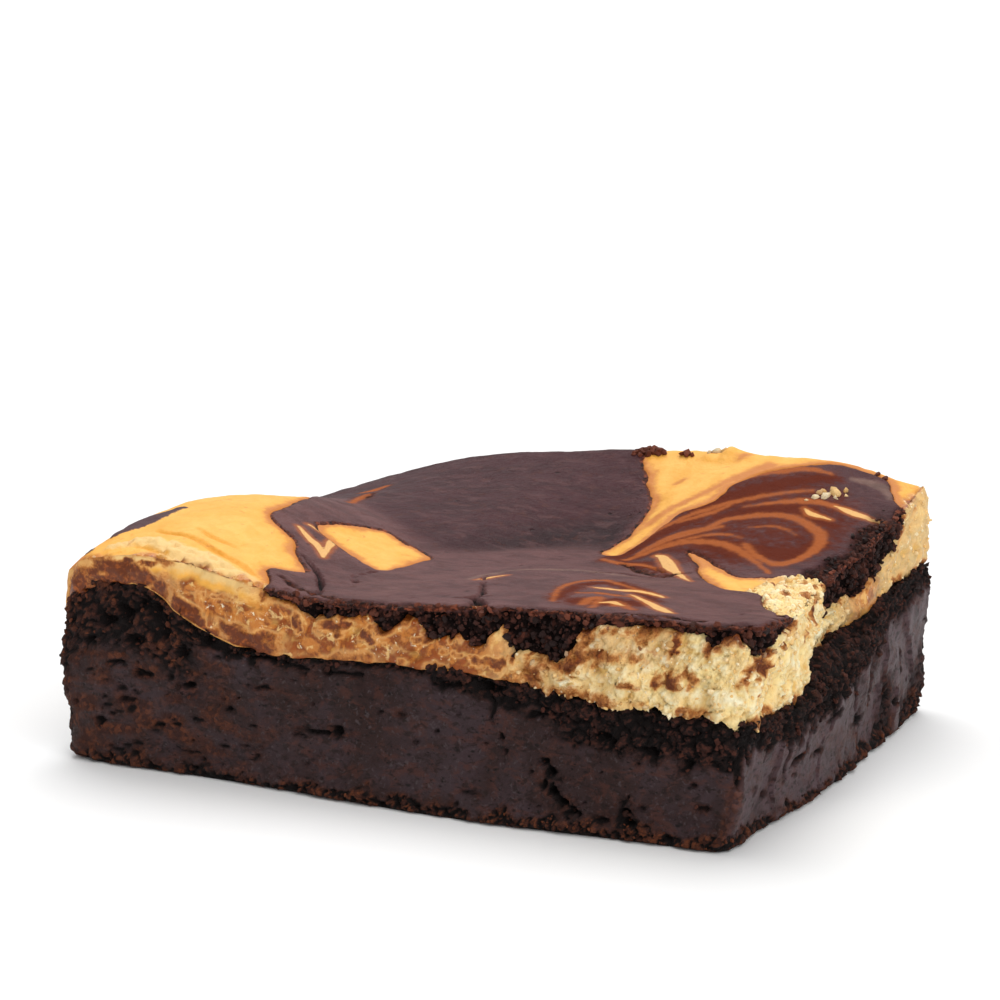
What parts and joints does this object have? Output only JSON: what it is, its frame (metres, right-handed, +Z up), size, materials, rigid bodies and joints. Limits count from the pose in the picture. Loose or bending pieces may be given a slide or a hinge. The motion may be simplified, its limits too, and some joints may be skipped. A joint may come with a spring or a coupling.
{
  "type": "chocolate brownie",
  "caption": "Square of marbled cheesecake brownie: a dense chocolate base, a cream-cheese layer and a thin swirled chocolate topping.",
  "frame": {"origin": "middle of the flat underside", "axes": "+X towards the short cut face, +Y towards the side that stood against the back of the tin, +Z up; -Y is the long cut face"},
  "size_m": [0.0889, 0.0717, 0.0316],
  "materials": {
    "chocolate_cake": "dense, moist chocolate cake with a fine open crumb",
    "cream_cheese": "baked cream cheese, golden on top and pale and porous at a cut",
    "chocolate_skin": "smooth baked chocolate skin with a low sheen, swirled with cream"
  },
  "bodies": {
    "root": {"chocolate_base": "chocolate_cake", "cream_cheese_layer": "cream_cheese", "chocolate_topping": "chocolate_skin"}
  },
  "joints": []
}
